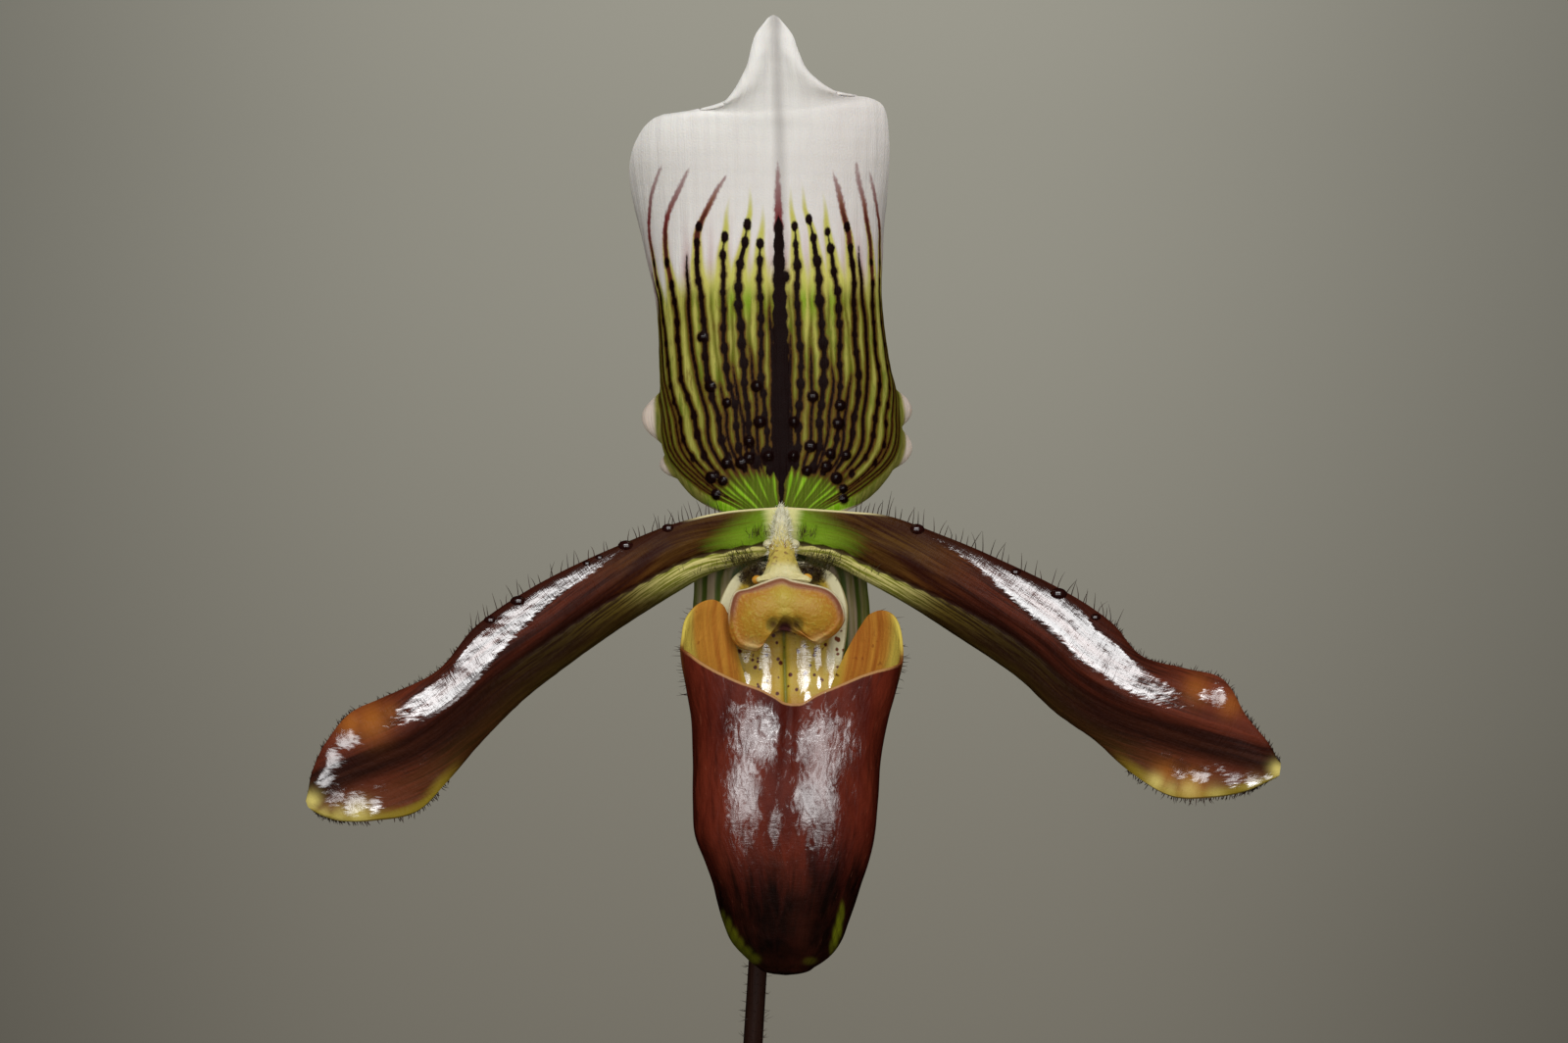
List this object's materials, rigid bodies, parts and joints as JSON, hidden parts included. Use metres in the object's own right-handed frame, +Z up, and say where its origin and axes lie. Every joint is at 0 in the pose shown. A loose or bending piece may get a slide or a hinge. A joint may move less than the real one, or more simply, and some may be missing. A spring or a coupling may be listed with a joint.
{
  "type": "potted slipper orchid",
  "caption": "Slipper orchid in a clay pot of bark: arching strap leaves, a tall thin stem, and a flower with a glossy pouch, drooping petals and a striped upper sepal.",
  "frame": {"origin": "middle of the pot's flat underside", "axes": "+Z up along the pot's axis and the flower stem, -Y towards the viewer whom the flower faces, +X to that viewer's right"},
  "size_m": [0.2553, 0.112, 0.3906],
  "materials": {
    "terracotta": "matte",
    "bark": "matte",
    "stem": "satin",
    "leaf": "satin",
    "ovary": "satin",
    "bract": "satin",
    "dorsal_sepal": "satin",
    "synsepal": "satin",
    "petal": "gloss",
    "lip": "gloss",
    "column": "satin",
    "staminode": "satin"
  },
  "bodies": {
    "root": {"pot": "terracotta", "bark_filling": "bark", "flower_stem": "stem", "young_stem": "leaf", "leaf_1": "leaf", "leaf_2": "leaf", "leaf_3": "leaf", "leaf_4": "leaf", "leaf_5": "leaf", "leaf_6": "leaf", "young_leaf_1": "leaf", "young_leaf_2": "leaf", "young_leaf_3": "leaf", "ovary": "ovary", "floral_bract": "bract", "dorsal_sepal": "dorsal_sepal", "synsepal": "synsepal", "petal_left": "petal", "petal_right": "petal", "lip_pouch": "lip", "column": "column", "staminode": "staminode"}
  },
  "joints": []
}
